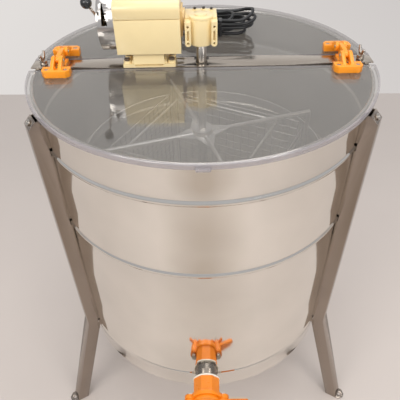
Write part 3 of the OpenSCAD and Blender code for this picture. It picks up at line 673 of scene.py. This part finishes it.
def screens_piece():
    parts = []
    for k in range(4):
        rot = Matrix.Rotation(CAGE_A + math.radians(45 + 90 * k), 3, "Z")
        def put(pts, r, sides=6):
            t = tube([rot @ Vector(p) for p in pts], r, sides)
            parts.append(t)
        y0, y1, z0, z1, x = -160, 160, 362, 710, 173
        # edge frame of round rod
        put([(x, y0 + 1.2, z0), (x, y0 + 1.2, z1)], 1.6, 8)
        put([(x, y1 - 1.2, z0), (x, y1 - 1.2, z1)], 1.6, 8)
        put([(x, y0, z0 + 1.2), (x, y1, z0 + 1.2)], 1.6, 8)
        put([(x, y0, z1 - 1.2), (x, y1, z1 - 1.2)], 1.6, 8)
        ny, nz = 16, 17
        for i in range(1, ny):
            y = y0 + (y1 - y0) * i / ny
            put([(x + 0.8 * (-1) ** (i + j), y, z0 + (z1 - z0) * j / nz) for j in range(nz + 1)], 0.85)
        for j in range(1, nz):
            z = z0 + (z1 - z0) * j / nz
            put([(x - 0.8 * (-1) ** (i + j), y0 + (y1 - y0) * i / ny, z) for i in range(ny + 1)], 0.85)
    for k in range(4):
        a = CAGE_A + math.radians(90 * k)
        px, py = 250 * math.cos(a), 250 * math.sin(a)
        parts.append(tube([(px, py, 336), (px, py, 336.6), (px, py, 737), (px, py, 738)], 4.9, 24, radii=[4.3, 4.9, 4.9, 4.5]))
    b = joined(parts)
    frame_to_mm(b)
    for f in b.faces:
        c = f.calc_center_median()
        f.material_index = 0 if math.hypot(c.x, c.y) > 0.2445 else 1
    return place(b, "cage_wire_screens", CAGE, "cage", ["cage_screens"], angle=50, mats=[CAGE, WIRE])


screens_piece()

# ------------------------------------------------------------------ CAD nodes whose edges are rounded here, and the rest
WIDTHS = {
    "leg_left": 0.5, "leg_right": 0.5, "leg_rear": 0.5, "leg_bolts": 0.4,
    "outlet_nipple": 0.5, "gate_gasket": 0.5, "gate_body": 1.1, "gate_blade": 0.9, "gate_studs": 0.4, "gate_wing_nut_left": 0.9, "gate_wing_nut_right": 0.9,
    "crossbar": 1.6, "bar_brackets": 0.4, "bar_wing_bolt_left": 0.5, "bar_wing_bolt_right": 0.5,
    "hinge_post_left": 0.9, "hinge_post_right": 0.9, "front_hinge_leaves": 1.0, "rear_hinge_leaves": 1.0, "hinge_pins": 0.4,
    "front_leaf_screws": 0.3, "rear_leaf_screws": 0.3,
    "motor_foot": 1.1, "foot_bolts": 0.5, "motor_housing": 1.2, "motor_cover": 1.2, "motor_flange": 0.8,
    "speed_drum": 0.5, "speed_lever": 0.5, "gearbox_body": 0.7, "gearbox_cap": 0.9, "cap_screws": 0.3,
    "coupling_sleeve": 0.5, "output_shaft": 0.5, "coupling_pin": 0.4, "cage_shaft": 0.5, "upper_spider": 0.5, "lower_spider": 0.5, "cage_hoops": 0.5,
    "frame_rails": 0.3, "cord_gland": 0.6, "lever_knob": 0.4, "pivot_cup": 0.6, "pivot_bush": 0.4,
    "stator": 0.4, "rotor": 0.3, "motor_bearings": 0.4, "worm_bearing": 0.4, "worm_wheel": 0.12, "wheel_bearings": 0.4, "shaft_seal": 0.3, "worm": 0.0,
}
REPLACED = {"drum_shell", "drum_bottom", "front_lid", "rear_lid", "cage_screens", "cord_lead", "cord_hank", "plug"}
for n in NODES:
    if n in REPLACED:
        continue
    w = WIDTHS.get(n, 0.3)
    if w > 0:
        refined(n, w)
    else:
        dress(n)

# ------------------------------------------------------------------ stage and light
def plane(name, corners, mat):
    b = bmesh.new()
    b.faces.new([b.verts.new(c) for c in corners])
    me = bpy.data.meshes.new(name)
    b.to_mesh(me)
    b.free()
    me.materials.append(mat)
    o = bpy.data.objects.new(name, me)
    bpy.context.scene.collection.objects.link(o)
    return o


FLOOR = Mat("floor", srgb(200, 190, 183), 0.5)
f1 = FLOOR.noise(1.3, 5)
# painted shadow: a soft, darker and warmer patch on the floor in front of the object, centred at y = -1.35 m and
# outside the camera's view, which the drum shows as a painted reflection of shade
painted_shadow_gradient = FLOOR.node("ShaderNodeTexGradient", gradient_type="SPHERICAL")
mp = FLOOR.node("ShaderNodeMapping")
mp.inputs["Location"].default_value = (0, 1.35 / 1.1, 0)
mp.inputs["Scale"].default_value = (1 / 0.55, 1 / 1.1, 1)
FLOOR.link(FLOOR.coord.outputs["Object"], mp.inputs["Vector"])
FLOOR.link(mp.outputs["Vector"], painted_shadow_gradient.inputs["Vector"])
painted_shadow_mix = FLOOR.node("ShaderNodeMix", data_type="RGBA")
FLOOR.link(FLOOR.span(painted_shadow_gradient.outputs["Fac"], 0.0, 1.0, 0.0, 0.8), painted_shadow_mix.inputs["Factor"])
FLOOR.link(FLOOR.ramp(f1, [(0.3, scaled(srgb(200, 190, 183), 0.97)), (0.7, scaled(srgb(200, 190, 183), 1.03))]), painted_shadow_mix.inputs["A"])
# the colour of the painted shadow at its centre
painted_shadow_mix.inputs["B"].default_value = srgb(172, 160, 149)
FLOOR.link(painted_shadow_mix.outputs["Result"], FLOOR.p.inputs["Base Color"])


def glow(name, axis, lo, hi, a, b):
    """A matt backdrop that glows by itself, as painted light and not lit by the lamps, drifting from one tint and
    brightness to another along a world axis.
    """
    mt = Mat(name, (0, 0, 0, 1), 1.0, 0.0, Specular_IOR_Level=0.0, Emission_Strength=1.0)
    sep = mt.node("ShaderNodeSeparateXYZ")
    mt.link(mt.coord.outputs["Object"], sep.inputs["Vector"])
    mt.link(mt.ramp(mt.span(sep.outputs[axis], 0.0, 1.0, lo, hi), [(0.0, a), (1.0, b)]), mt.p.inputs["Emission Color"])
    return mt.m


# the pale floor meets a glowing far floor along one line behind the object; this painted light is brighter at the left.
# A glowing far wall, brighter near the floor, closes the view
plane("floor", [(-9, -9, -0.0005), (9, -9, -0.0005), (9, 1.285, -0.0005), (-9, 1.81, -0.0005)], FLOOR.m)
plane("far_floor", [(-9, 1.81, -0.0005), (9, 1.285, -0.0005), (9, 7, -0.0005), (-9, 7, -0.0005)], glow("far_floor", "X", -1.5, 2.5, srgb(226, 222, 219), srgb(202, 197, 195)))
plane("wall", [(-9, 7, -0.001), (9, 7, -0.001), (9, 7, 10), (-9, 7, 10)], glow("far_wall", "Z", 0.2, 7.5, srgb(244, 241, 238), srgb(205, 202, 200)))

world = bpy.data.worlds.new("world")
world.use_nodes = True
bg = world.node_tree.nodes["Background"]
bg.inputs["Color"].default_value = (0.93, 0.95, 1.0, 1)
bg.inputs["Strength"].default_value = 0.55
bpy.context.scene.world = world


def area(name, loc, target, size, power, color=(1, 1, 1), size_y=None):
    l = bpy.data.lights.new(name, "AREA")
    l.energy, l.size, l.color = power, size, color
    if size_y:
        l.shape, l.size_y = "RECTANGLE", size_y
    o = bpy.data.objects.new(name, l)
    o.location = loc
    o.rotation_euler = (Vector(target) - Vector(loc)).to_track_quat("-Z", "Y").to_euler()
    bpy.context.scene.collection.objects.link(o)
    return o


area("left_soft", (-1.6, -1.9, 2.2), (0, -0.1, 0.6), 1.3, 26, (1, 0.98, 0.95), 0.9)
area("right_soft", (1.5, -1.9, 2.0), (0, -0.1, 0.6), 1.0, 20, (1, 0.97, 0.94), 0.8)
area("top", (0.3, 0.3, 3.4), (0, 0.2, 0.6), 2.4, 38)
area("front_soft", (0, -2.3, 3.0), (0, 0, 0.7), 2.6, 26, (1, 0.98, 0.96), 1.8)

bpy.context.scene.view_settings.view_transform = "Standard"
bpy.context.scene.view_settings.look = "None"
